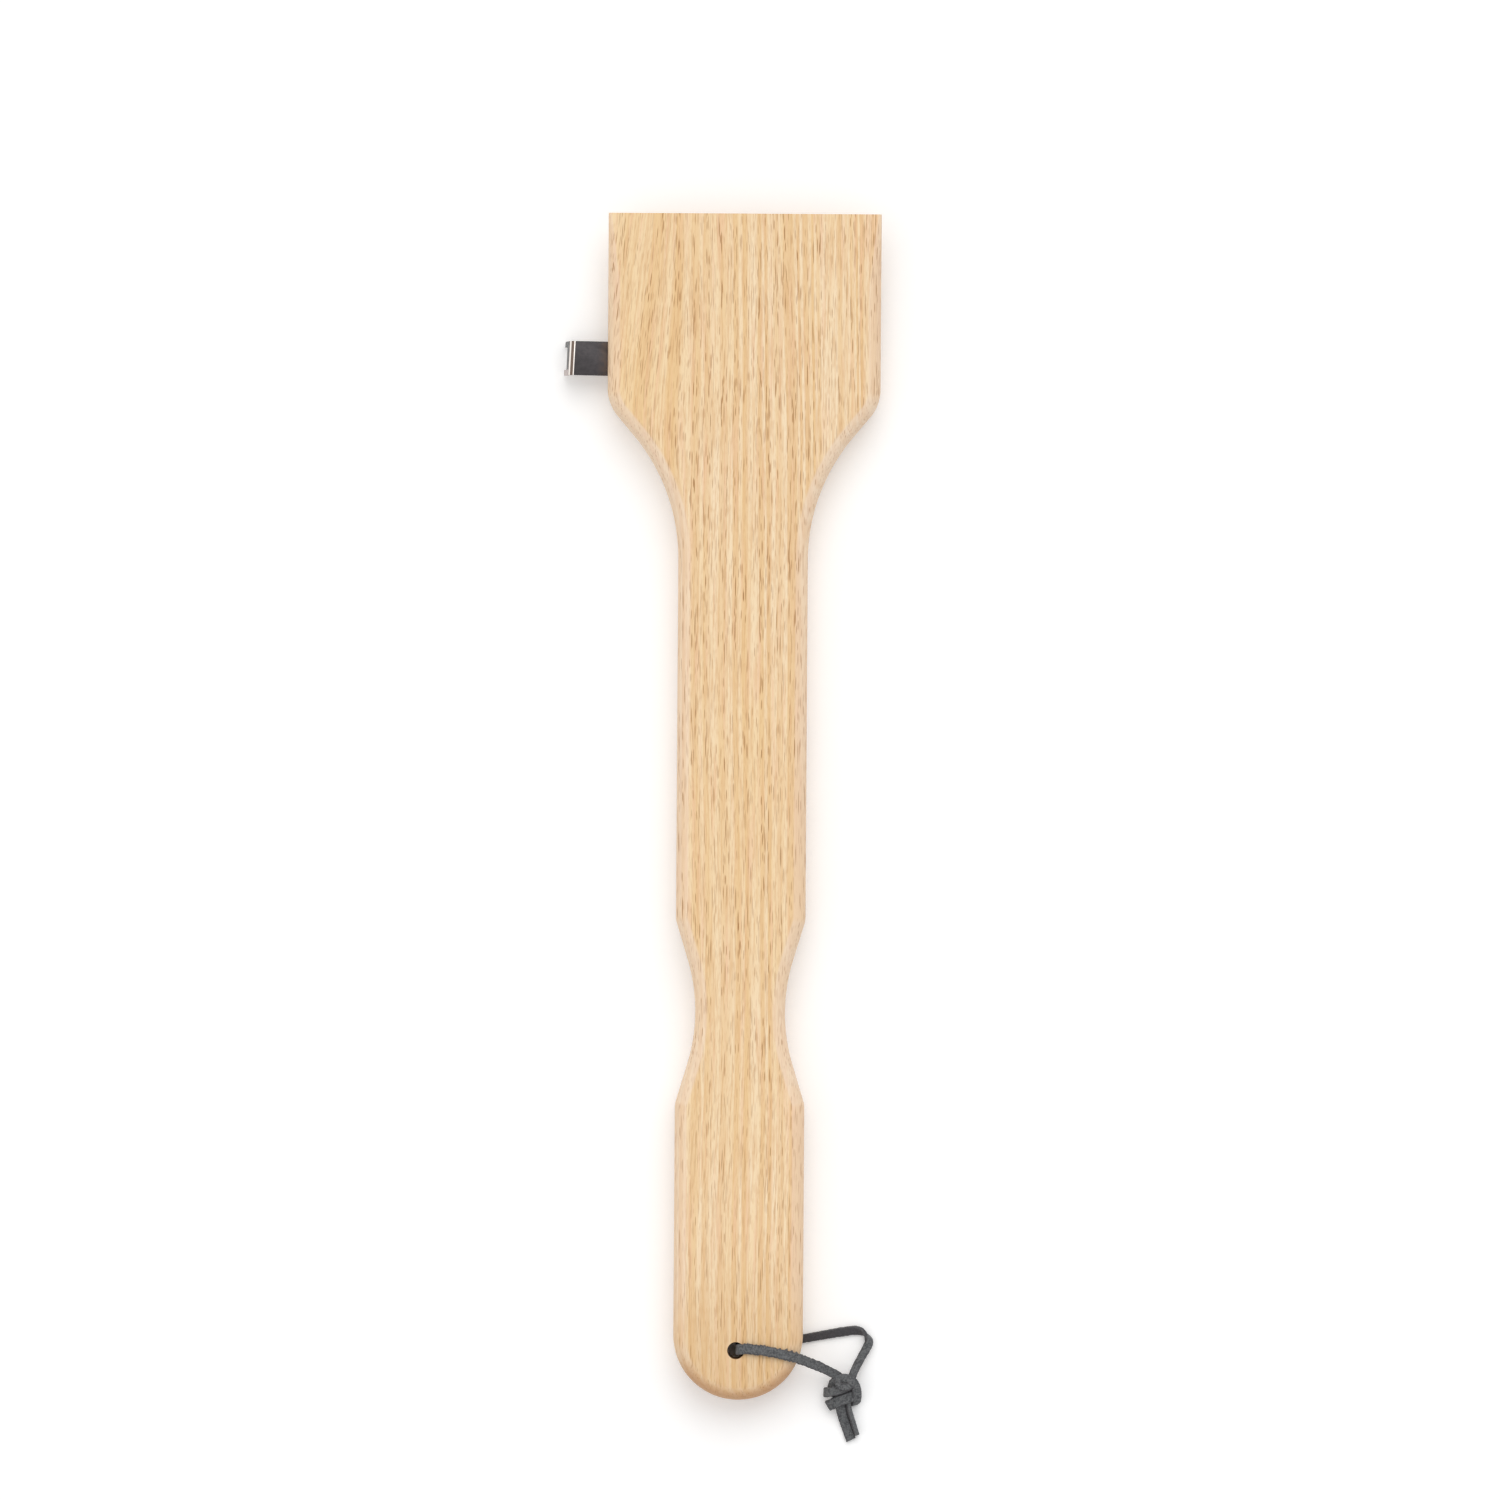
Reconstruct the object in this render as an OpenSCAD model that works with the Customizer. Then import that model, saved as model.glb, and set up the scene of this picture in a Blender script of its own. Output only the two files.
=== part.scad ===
// Wooden grill scraper: an oak paddle with a rounded edge all round and a long bevel on the back
// of its head, a bent steel side scraper set in the head's left edge, and a suede hanging lace
// through the handle. It lies on its back on z = 0 with its tip towards +Y. Sizes are millimetres.

/* [Paddle] */
// Length from the scraping tip to the end of the handle
paddle_l = 430; // [380:5:480]
// Thickness of the board
board_t = 19; // [17:0.5:24]
// Width of the head
head_w = 99; // [88:1:120]
// Length of the straight sides of the head, from the tip
head_side_l = 63.5; // [55:0.5:90]
// Width of the handle
handle_w = 47; // [42:1:54]
// Radius of the rounded corner where a side of the head turns into the shoulder
shoulder_r = 15; // [10:1:25]
// Radius of the long sweep from the shoulder into the handle
sweep_r = 70; // [40:5:100]
// Length of the straight slope between the two
slope_l = 9.5; // [4:0.5:20]
// Radius of the round-over along all long edges
edge_r = 5.3; // [2:0.1:6]

/* [Finger neck] */
// Width of the handle at its narrowest
neck_w = 32.6; // [28:0.2:38]
// Distance of the narrowest place from the end of the handle
neck_y = 140.5; // [110:0.5:180]
// Radius of the hollow of the neck
neck_r = 65; // [40:5:90]
// Radius of the corners above and below the neck
neck_corner_r = 10; // [8:1:20]
// Length of the straight slopes of the neck
neck_slope_l = 13.5; // [5:0.5:20]

/* [Scraping bevel] */
// Length of the bevel on the back of the head
bevel_l = 62; // [50:1:80]
// Thickness of the wood at the tip
tip_t = 2.5; // [1.5:0.1:5]

/* [Side scraper] */
// Width of the steel strip
strip_w = 12.4; // [10:0.2:20]
// Thickness of the steel
strip_t = 1.2; // [0.8:0.1:2]
// Distance of the middle of the strip from the tip
strip_from_tip = 52.7; // [40:0.5:60]
// Height of the underside of the strip above the back of the paddle
strip_z = 11; // [9:0.25:12]
// Length of the flat of the strip that stands out of the wood
strip_out = 12; // [8:0.5:25]
// Length of the strip inside the wood
tang_l = 28; // [22:1:40]
// Inside radius of the bend
bend_r = 1; // [0.5:0.25:2.5]
// Angle that the strip is bent through
bend_angle = 79; // [60:1:90]
// Height of the ends of the prongs above the back of the paddle
prong_clear = 1.4; // [1:0.1:3]
// Width of the notch that fits over a grill bar
notch_w = 8.2; // [6:0.2:9]
// Depth of the notch
notch_depth = 4.7; // [4.5:0.1:5.5]
// Radius of the corners of the notch
notch_corner_r = 1; // [0.5:0.1:1.5]
// Width of the chamfer on the outer corners of the prongs
prong_chamfer = 0.7; // [0.3:0.1:1]
// Angle that the strip sits out of square
strip_skew = 0.9; // [0:0.1:2]

/* [Screws] */
// Diameter of the head of a screw
screw_head_d = 5.6; // [4.5:0.1:6.5]
// Diameter of the shank of a screw
screw_d = 2.9; // [2.2:0.1:3.2]
// Length of a screw
screw_l = 11; // [9:0.5:12]
// Distance of the first screw from the edge of the head
screw_in = 9; // [6:0.5:11]
// Distance between the two screws
screw_pitch = 11; // [8:0.5:12]
// Depth of the heads below the bevel
screw_sink = 0.3; // [0.1:0.1:1]

/* [Hanging hole and lace] */
// Diameter of the hanging hole
hole_d = 6.2; // [6:0.1:9]
// Distance of the hole from the end of the handle
hole_y = 18; // [14:0.5:24]
// Distance of the hole to the left of the middle
hole_left = 0.8; // [0:0.1:1.2]
// Width of the lace
lace_w = 3.6; // [3:0.1:4.2]
// Thickness of the lace
lace_t = 1.5; // [1:0.1:1.5]

/* [Hidden] */

// Clearance round the strip in its slot, round a screw, and between the lace and the wood
kerf_gap = 0.15;
screw_gap = 0.05;
lace_gap = 0.15;

// Outline of the paddle, from the two angles that its slopes turn through
handle_r = handle_w / 2;
head_half = head_w / 2;
neck_half = neck_w / 2;
function slope_angle(r, l, step) = acos((r - step) / norm([r, l])) - atan2(l, r);
shoulder_a = slope_angle(shoulder_r + sweep_r, slope_l, head_half - handle_r);
neck_a = slope_angle(neck_r + neck_corner_r, neck_slope_l, handle_r - neck_half);
shoulder_y = paddle_l - head_side_l;
sweep_y = shoulder_y - (shoulder_r + sweep_r) * sin(shoulder_a) - slope_l * cos(shoulder_a);
neck_reach = (neck_r + neck_corner_r) * sin(neck_a) + neck_slope_l * cos(neck_a);

// Bevel: the heel is the line on the back where it starts
heel_y = paddle_l - bevel_l;
bevel_slope = (board_t - tip_t) / bevel_l;
function back_z(y) = max(0, (y - heel_y) * bevel_slope);
function wood_t(y) = board_t - back_z(y);

// The round-overs shrink where the wood gets too thin for them
front_share = 0.55;
back_share = 0.4;
function front_r(y) = min(edge_r, front_share * wood_t(y));
function back_r(y) = min(edge_r, back_share * wood_t(y));

// Side scraper: where it is, and how far its bend and its flange drop and reach
strip_y = paddle_l - strip_from_tip;
bend_out_r = bend_r + strip_t;
bend_drop = bend_out_r * (1 - cos(bend_angle));
flange_l = (strip_z + strip_t - bend_drop - prong_clear - strip_t * cos(bend_angle)) / sin(bend_angle);
strip_reach = strip_out + bend_out_r * sin(bend_angle) + flange_l * cos(bend_angle);

// Screws: cone of the head, point, cross recess, and the height of the heads in the bevel
screw_head_h = (screw_head_d - screw_d) / 2;
screw_point_l = 3;
recess_w = 0.9;
recess_l = 3;
recess_depth = 1;
screw_z = back_z(strip_y + screw_head_d / 2) + screw_sink;
head_gap = 0.2;
tang_hole_gap = 0.3;

// The handle rests on the lace under it, which lifts it by this angle about the heel
lace_under_y = 25;
lie_angle = asin((lace_t + lace_gap) / (heel_y - lace_under_y));

// The origin is in the middle of the box round the wood and the steel
centre_x = strip_reach / 2;
centre_y = paddle_l / 2;

// Steps of the curves
end_steps = 16;
corner_steps = 4;
hollow_steps = 12;
sweep_steps = 12;
shoulder_steps = 8;
side_steps = 8;
round_steps = 5;
bend_steps = 16;
past = 1;

// Points of an arc with the direction that faces out of the wood, as [x, y, out x, out y]:
// turn is 1 where the middle of the arc is in the wood, and -1 where it is outside
function arc(x, y, r, from, to, steps, turn = 1) = [
  for (i = [0 : steps])
    let (a = from + (to - from) * i / steps)
    [x + r * cos(a), y + r * sin(a), turn * cos(a), turn * sin(a)]
];

// Right half of the outline, from the end of the handle to the tip
half_outline = concat(
  arc(0, handle_r, handle_r, -90, 0, end_steps),
  arc(handle_r - neck_corner_r, neck_y - neck_reach, neck_corner_r, 0, neck_a, corner_steps),
  arc(neck_half + neck_r, neck_y, neck_r, 180 + neck_a, 180 - neck_a, hollow_steps, -1),
  arc(handle_r - neck_corner_r, neck_y + neck_reach, neck_corner_r, -neck_a, 0, corner_steps),
  arc(handle_r + sweep_r, sweep_y, sweep_r, 180, 180 - shoulder_a, sweep_steps, -1),
  arc(head_half - shoulder_r, shoulder_y, shoulder_r, -shoulder_a, 0, shoulder_steps),
  side_stations()
);

// Points up the straight side of the head: one at the heel, then even steps along the bevel
function side_stations() = [
  for (i = [0 : side_steps])
    let (start = max(heel_y, shoulder_y + past))
    [head_half, start + (paddle_l - start) * i / side_steps, 1, 0]
];

// A point of the outline moved in over a round-over of radius r, at the angle a round it
function inset(p, r, a) = [p[0] - p[2] * r * (1 - cos(a)), p[1] - p[3] * r * (1 - cos(a))];
function front_point(p, a) =
  let (r = front_r(p[1]), q = inset(p, r, a))
  [q[0], q[1], board_t - r * (1 - sin(a))];
function back_point(p, a) =
  let (r = back_r(p[1]), q = inset(p, r, a))
  [q[0], q[1], back_z(q[1]) + r * (1 - sin(a))];
function mirrored(p) = [-p[0], p[1], -p[2], p[3]];

// Board with its round-overs and its bevel: a stack of rings, each one the outline moved in,
// from the flat front face down to the flat back face. The rings are open across the tip.
module board() {
  half = half_outline;
  m = len(half);
  ring = concat([for (i = [m - 1 : -1 : 1]) mirrored(half[i])], half);
  n = len(ring);
  last = 2 * round_steps + 1;
  points = [
    for (k = [0 : last], p = ring)
      k <= round_steps
        ? front_point(p, 90 - 90 * k / round_steps)
        : back_point(p, 90 * (k - round_steps - 1) / round_steps)
  ];
  sides = [
    for (k = [0 : last - 1], j = [0 : n - 2], half_quad = [0, 1])
      let (a = k * n + j)
      half_quad == 0 ? [a, a + 1, a + n + 1] : [a, a + n + 1, a + n]
  ];
  // The front and the back face are ladders of strips across the first and the last ring
  front = [for (i = [0 : m - 2]) strip_across(m - 1, i)];
  back = [for (i = [0 : m - 2]) reversed(strip_across(last * n + m - 1, i))];
  tip = concat([for (k = [0 : last]) k * n], [for (k = [last : -1 : 0]) k * n + n - 1]);
  polyhedron(points = points, faces = concat(sides, front, back, [tip]), convexity = 6);
}

// Corners of the strip i steps from the middle point of a ring, where it is a triangle
function strip_across(middle, i) =
  i == 0
    ? [middle, middle - 1, middle + 1]
    : [middle - i, middle - i - 1, middle + i + 1, middle + i];
function reversed(list) = [for (i = [len(list) - 1 : -1 : 0]) list[i]];

// Lays the wood and the steel down: on the heel at one end, on the lace at the other
module lying() {
  translate([centre_x, heel_y - centre_y, 0])
    rotate([-lie_angle, 0, 0])
      translate([0, -heel_y, 0])
        children();
}

// Moves to the place where the steel strip leaves the wood, at the height of its underside
module at_strip() {
  translate([-head_half, strip_y, strip_z])
    rotate([0, 0, -strip_skew])
      children();
}

// Places the two screws along the tang
module at_screws() {
  for (i = [0, 1])
    translate([-head_half, strip_y, 0])
      rotate([0, 0, -strip_skew])
        translate([screw_in + i * screw_pitch, 0, 0])
          children();
}

module strip_slot() {
  at_strip()
    translate([-past, -strip_w / 2 - kerf_gap, -kerf_gap])
      cube([tang_l + kerf_gap + past, strip_w + 2 * kerf_gap, strip_t + 2 * kerf_gap]);
}

module screw_holes() {
  at_screws() {
    translate([0, 0, -past])
      cylinder(r = screw_head_d / 2 + head_gap, h = screw_z + past, $fn = 48);
    translate([0, 0, screw_z - screw_gap])
      cylinder(r1 = screw_head_d / 2 + screw_gap, r2 = screw_d / 2 + screw_gap,
        h = screw_head_h + screw_gap, $fn = 48);
    translate([0, 0, screw_z])
      cylinder(r = screw_d / 2 + screw_gap, h = screw_l + screw_gap, $fn = 32);
  }
}

module hang_hole() {
  translate([-hole_left, hole_y, -past])
    cylinder(d = hole_d, h = board_t + 2 * past, $fn = 64);
}

module paddle() {
  color("burlywood")
    lying()
      difference() {
        board();
        hang_hole();
        strip_slot();
        screw_holes();
      }
}

// Side view of the strip, from the tang over the flat and the bend to the end of the flange:
// along the strip in x, and up in y
function bend_arc(r) = [
  for (i = [0 : bend_steps])
    let (a = 90 + bend_angle * i / bend_steps)
    [-strip_out + r * cos(a), -bend_r + r * sin(a)]
];
function flange_end(r) = [
  -strip_out - r * sin(bend_angle) - flange_l * cos(bend_angle),
  -bend_r + r * cos(bend_angle) - flange_l * sin(bend_angle)
];
strip_profile = concat(
  [[tang_l, 0], [tang_l, strip_t]],
  bend_arc(bend_out_r),
  [flange_end(bend_out_r), flange_end(bend_r)],
  reversed(bend_arc(bend_r))
);

// What is cut out of the flange, from its end towards the bend in +x: the notch between the
// prongs, and the outer corner of each prong
module flange_cuts() {
  deep = notch_depth - notch_corner_r;
  translate([-past, -notch_w / 2])
    square([deep + past, notch_w]);
  translate([-past, -notch_w / 2 + notch_corner_r])
    square([notch_depth + past, notch_w - 2 * notch_corner_r]);
  for (s = [-1, 1]) {
    translate([deep, s * (notch_w / 2 - notch_corner_r)])
      circle(r = notch_corner_r, $fn = 32);
    translate([0, s * strip_w / 2])
      rotate([0, 0, s * 135])
        translate([-prong_chamfer / sqrt(2), -prong_chamfer - past])
          square(2 * (prong_chamfer + past));
  }
}

module side_scraper() {
  color("silver")
    lying()
      at_strip()
        difference() {
          translate([0, strip_w / 2, 0])
            rotate([90, 0, 0])
              linear_extrude(strip_w)
                polygon(strip_profile);
          translate([-strip_out, 0, -bend_r])
            rotate([0, -bend_angle, 0])
              translate([-flange_l, 0, bend_r - past])
                linear_extrude(strip_t + 2 * past)
                  flange_cuts();
          for (i = [0, 1])
            translate([screw_in + i * screw_pitch, 0, -past])
              cylinder(r = screw_d / 2 + tang_hole_gap, h = strip_t + 2 * past, $fn = 32);
        }
}

module screw() {
  difference() {
    union() {
      cylinder(d1 = screw_head_d, d2 = screw_d, h = screw_head_h, $fn = 48);
      cylinder(d = screw_d, h = screw_l - screw_point_l, $fn = 32);
      translate([0, 0, screw_l - screw_point_l])
        cylinder(d1 = screw_d, d2 = 0, h = screw_point_l, $fn = 32);
    }
    for (a = [0, 90])
      rotate([0, 0, a])
        translate([-recess_l / 2, -recess_w / 2, -past])
          cube([recess_l, recess_w, recess_depth + past]);
  }
}

module scraper_screws() {
  color("gainsboro")
    lying()
      at_screws()
        translate([0, 0, screw_z])
          screw();
}

// Route of the lace, from the knot over the front of the handle, down through the hole and back
// under the handle to the knot: x from the middle of the paddle, y from the end of the handle,
// z above the table, and the angle from +X that its width points along
lace_route = [
  [34.4, 9.6, 6.5, 58], [32.6, 10.5, 8.4, 61], [29.6, 12.0, 11.6, 64], [26.8, 13.3, 15.0, 66],
  [24.2, 14.4, 18.0, 68], [21.5, 15.4, 20.3, 70], [18.5, 16.2, 21.5, 73], [15.0, 17.1, 21.7, 76],
  [11.0, 17.9, 21.7, 79], [7.0, 18.4, 21.7, 83], [3.5, 18.7, 21.7, 87], [1.2, 18.7, 21.7, 90],
  [-0.2, 18.6, 21.2, 90], [-1.0, 18.5, 20.1, 90], [-1.2, 18.4, 18.5, 90], [-1.2, 18.2, 11.0, 90],
  [-1.2, 18.2, 3.8, 90], [-1.0, 18.2, 2.3, 90], [-0.2, 18.3, 1.3, 92], [1.2, 18.5, 0.8, 95],
  [5.0, 19.1, 0.8, 97], [11.0, 20.0, 0.8, 98], [17.0, 20.8, 0.8, 98], [23.5, 21.6, 0.9, 99],
  [29.0, 22.5, 1.0, 99], [35.0, 23.6, 1.1, 99], [40.5, 24.5, 1.2, 97], [43.6, 24.6, 1.4, 88],
  [45.8, 23.9, 1.7, 62], [47.1, 22.4, 2.0, 30], [47.6, 20.7, 2.2, -4], [46.8, 18.6, 2.4, -24],
  [44.8, 15.0, 3.0, -27], [42.9, 11.4, 3.7, -25], [42.1, 9.6, 4.1, -20]
];

// Routes of the two loose ends below the knot, with the second one turned up on its edge
left_tail = [
  [37.4, -2.9, 3.0, 18], [38.0, -5.5, 2.1, 19], [38.9, -8.3, 1.2, 20], [40.0, -11.4, 0.8, 20],
  [41.3, -15.1, 0.8, 20]
];
right_tail = [[40.5, -3.2, 3.0, 18], [41.4, -6.2, 2.5, 19], [42.3, -8.9, 2.0, 20], [43.9, -13.9, 2.0, 20]];

// Lumps of the knot, as [x, y, z, radius]
knot_lumps = [[35.4, 5.2, 4.1, 3.9], [40.9, 5, 4, 3.9], [35.4, 0, 3.6, 3.5], [41.2, 0.3, 3.6, 3.5]];

// Corners of the section of a lace of unit half width and unit half thickness
section_edge = 0.45;
section_face = 0.82;
lace_section = [
  [1, section_edge], [section_face, 1], [-section_face, 1], [-1, section_edge],
  [-1, -section_edge], [-section_face, -1], [section_face, -1], [1, -section_edge]
];

function unit(v) = v / norm(v);
function place(p) = [p[0], p[1], p[2]];
function along(route, i) =
  unit(place(route[min(i + 1, len(route) - 1)]) - place(route[max(i - 1, 0)]));

// One ring of a lace: its width is turned square to the route there
function lace_ring(route, i, half_w, half_t) =
  let (
    t = along(route, i),
    flat = [cos(route[i][3]), sin(route[i][3]), 0],
    w = unit(flat - (flat * t) * t),
    up = cross(t, w)
  )
  [for (c = lace_section) place(route[i]) + c[0] * half_w * w + c[1] * half_t * up];

module swept_lace(route, w, t) {
  n = len(route);
  s = len(lace_section);
  points = [for (i = [0 : n - 1], p = lace_ring(route, i, w / 2, t / 2)) p];
  sides = [
    for (i = [0 : n - 2], j = [0 : s - 1], half_quad = [0, 1])
      let (a = i * s + j, b = i * s + (j + 1) % s)
      half_quad == 0 ? [a, b + s, b] : [a, a + s, b + s]
  ];
  start = [for (j = [0 : s - 1]) j];
  end = [for (j = [s - 1 : -1 : 0]) (n - 1) * s + j];
  polyhedron(points = points, faces = concat(sides, [start, end]), convexity = 6);
}

module at_handle() {
  translate([centre_x, -centre_y, 0])
    children();
}

module lace() {
  color("dimgray")
    at_handle()
      swept_lace(lace_route, lace_w, lace_t);
}

module lace_knot() {
  color("dimgray")
    at_handle() {
      hull()
        for (k = knot_lumps)
          translate([k[0], k[1], k[2]])
            sphere(r = k[3], $fn = 20);
      swept_lace(left_tail, lace_w, lace_t);
      swept_lace(right_tail, lace_t, lace_w);
    }
}

paddle();
side_scraper();
scraper_screws();
lace();
lace_knot();
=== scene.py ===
# Wooden grill scraper: an oak paddle, a bent steel side scraper with its screws, and a suede
# hanging lace with its knot. Lengths are named in millimetres and turned into metres by MM.
import math

import bmesh
import bpy
from mathutils import Matrix, Vector, noise


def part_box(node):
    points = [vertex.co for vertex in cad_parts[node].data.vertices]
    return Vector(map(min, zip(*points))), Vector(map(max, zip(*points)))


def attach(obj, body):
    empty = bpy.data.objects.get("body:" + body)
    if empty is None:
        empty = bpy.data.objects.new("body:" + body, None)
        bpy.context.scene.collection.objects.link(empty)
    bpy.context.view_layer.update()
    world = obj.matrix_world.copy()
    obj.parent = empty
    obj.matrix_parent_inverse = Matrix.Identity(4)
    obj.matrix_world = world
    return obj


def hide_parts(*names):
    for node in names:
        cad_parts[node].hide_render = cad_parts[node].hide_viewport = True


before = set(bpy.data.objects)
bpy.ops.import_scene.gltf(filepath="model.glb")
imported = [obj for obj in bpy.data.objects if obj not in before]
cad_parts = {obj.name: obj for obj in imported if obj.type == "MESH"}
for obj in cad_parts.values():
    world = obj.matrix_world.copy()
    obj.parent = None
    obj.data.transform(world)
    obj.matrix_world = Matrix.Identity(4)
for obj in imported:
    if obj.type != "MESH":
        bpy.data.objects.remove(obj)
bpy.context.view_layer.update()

MM = 0.001

# Paddle
PADDLE_L = 430
BOARD_T = 19
HEAD_W = 99
HEAD_SIDE_L = 63.5
HANDLE_W = 47
SHOULDER_R = 15
SWEEP_R = 70
SLOPE_L = 9.5
EDGE_R = 5.3
NECK_W = 32.6
NECK_Y = 140.5
NECK_R = 65
NECK_CORNER_R = 10
NECK_SLOPE_L = 13.5
BEVEL_L = 62
TIP_T = 2.5
FRONT_SHARE = 0.55
BACK_SHARE = 0.4
WOOD_EASE = 0.22

# Side scraper
STRIP_W = 12.4
STRIP_T = 1.2
STRIP_FROM_TIP = 52.7
STRIP_Z = 11
STRIP_OUT = 12
TANG_L = 28
BEND_R = 1
BEND_ANGLE = math.radians(79)
PRONG_CLEAR = 1.4
NOTCH_W = 8.2
NOTCH_DEPTH = 4.7
NOTCH_CORNER_R = 1
PRONG_R = 0.8
STRIP_SKEW = math.radians(0.9)
BEND_SKEW = math.radians(1.9)
KERF_GAP = 0.15
STRIP_EASE = 0.14

# Screws
SCREW_HEAD_D = 5.6
SCREW_D = 2.9
SCREW_L = 11
SCREW_IN = 9
SCREW_PITCH = 11
SCREW_SINK = 0.3
SCREW_GAP = 0.05
HEAD_GAP = 0.2
TANG_HOLE_GAP = 0.3

# Hanging hole and lace
HOLE_D = 6.2
HOLE_Y = 18
HOLE_LEFT = 0.8
LACE_W = 3.6
LACE_T = 1.5
LACE_GAP = 0.15
LACE_UNDER_Y = 25

HEAD_HALF = HEAD_W / 2
HANDLE_R = HANDLE_W / 2
NECK_HALF = NECK_W / 2
HEEL_Y = PADDLE_L - BEVEL_L
STRIP_Y = PADDLE_L - STRIP_FROM_TIP

# Where the wood lies: its middle, and the small angle that the lace under the handle lifts it by
paddle_low, paddle_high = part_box("paddle")
CENTRE_X = (paddle_low[0] + paddle_high[0]) / 2
CENTRE_Y = PADDLE_L / 2 * MM
LIE_ANGLE = math.asin((LACE_T + LACE_GAP) / (HEEL_Y - LACE_UNDER_Y))
LYING = (
    Matrix.Translation((CENTRE_X, HEEL_Y * MM - CENTRE_Y, 0))
    @ Matrix.Rotation(-LIE_ANGLE, 4, "X")
    @ Matrix.Translation((0, -HEEL_Y * MM, 0))
)
AT_HANDLE = Matrix.Translation((CENTRE_X, -CENTRE_Y, 0))


# Node trees


def place(tree, kind, inputs=(), **settings):
    """A new node of that kind, with its settings and its inputs set or linked."""
    node = tree.nodes.new(kind)
    for name, value in settings.items():
        setattr(node, name, value)
    for key, value in dict(inputs).items():
        if isinstance(value, bpy.types.NodeSocket):
            tree.links.new(value, node.inputs[key])
        else:
            node.inputs[key].default_value = value
    return node


def calc(tree, operation, *values):
    """Result of a Math node."""
    return place(tree, "ShaderNodeMath", enumerate(values), operation=operation).outputs[0]


def mix(tree, factor, a, b):
    """Colour a turned into colour b by factor."""
    return place(tree, "ShaderNodeMix", {0: factor, 6: a, 7: b}, data_type="RGBA").outputs[2]


def step(tree, value, low, high, at_low=0.0, at_high=1.0):
    """Smooth step from at_low to at_high while value goes from low to high."""
    inputs = {"Value": value, "From Min": low, "From Max": high, "To Min": at_low, "To Max": at_high}
    return place(tree, "ShaderNodeMapRange", inputs, interpolation_type="SMOOTHSTEP").outputs[0]


def stretched(tree, vector, size_mm, offset=0.0):
    """Coordinates in which a cell of size_mm (x, y, z) is one unit wide."""
    inputs = {
        "Vector": vector,
        "Scale": [1 / (s * MM) for s in size_mm],
        "Location": (offset, offset, offset),
    }
    return place(tree, "ShaderNodeMapping", inputs).outputs[0]


def grain_noise(tree, vector, size_mm, offset=0.0, detail=2.0, roughness=0.5):
    """Noise whose blobs are about size_mm big."""
    inputs = {
        "Vector": stretched(tree, vector, size_mm, offset),
        "Scale": 1.0,
        "Detail": detail,
        "Roughness": roughness,
    }
    return place(tree, "ShaderNodeTexNoise", inputs).outputs[0]


def length_of(tree, a, b):
    """Length of a flat vector with these two parts."""
    squares = [calc(tree, "MULTIPLY", part, part) for part in (a, b)]
    return calc(tree, "SQRT", calc(tree, "ADD", *squares))


def bumped(tree, height, strength, depth_mm):
    """Normals of a surface with this relief, up to depth_mm deep."""
    inputs = {"Strength": strength, "Distance": depth_mm * MM, "Height": height}
    return place(tree, "ShaderNodeBump", inputs).outputs[0]


def new_group(name, inputs, outputs):
    """An empty node group with these float or colour sockets, and its input and output nodes."""
    group = bpy.data.node_groups.new(name, "ShaderNodeTree")
    kinds = {"value": "NodeSocketFloat", "colour": "NodeSocketColor", "vector": "NodeSocketVector"}
    for direction, sockets in (("INPUT", inputs), ("OUTPUT", outputs)):
        for socket_name, kind in sockets:
            group.interface.new_socket(socket_name, in_out=direction, socket_type=kinds[kind])
    return group, group.nodes.new("NodeGroupInput").outputs, group.nodes.new("NodeGroupOutput")


def placed_group(tree, group, inputs):
    """Places a group in a material, with its inputs set or linked, and returns its outputs."""
    return place(tree, "ShaderNodeGroup", inputs, node_tree=group).outputs


def new_material(name):
    """A material with an empty tree: its tree, its output node and its object coordinates."""
    material = bpy.data.materials.new(name)
    material.use_nodes = True
    tree = material.node_tree
    tree.nodes.clear()
    output = tree.nodes.new("ShaderNodeOutputMaterial")
    where = tree.nodes.new("ShaderNodeTexCoord").outputs["Object"]
    return material, tree, output, where


def finish_material(tree, output, shader_inputs):
    """Ends a material in a Principled shader with these inputs."""
    shader = place(tree, "ShaderNodeBsdfPrincipled", shader_inputs)
    tree.links.new(shader.outputs[0], output.inputs["Surface"])


# Oak

# The board is cut from a log whose pith runs below and left of its middle, a little aslant
PITH_X = -31
PITH_Z = -38
PITH_LEAN = -0.015
RING_T = 2.5
RING_UNEVEN = 2.2

# How far the grain sways and ripples sideways, and how it leans at the head's left side
SWAY = 6
RIPPLE = 1.3
LEFT_LEAN = -0.1
LEFT_LEAN_Y = 180

# Vessels in three lengths: the size of a cell, its offset, and how far a vessel's rim is from the
# cell's middle, in cells; inside the core it is fully dark
VESSELS = [
    ((0.72, 17, 0.72), 1.7, 0.31),
    ((0.65, 11, 0.65), 8.2, 0.32),
    ((0.6, 7, 0.6), 4.4, 0.33),
]
VESSEL_CORE = 0.16


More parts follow.
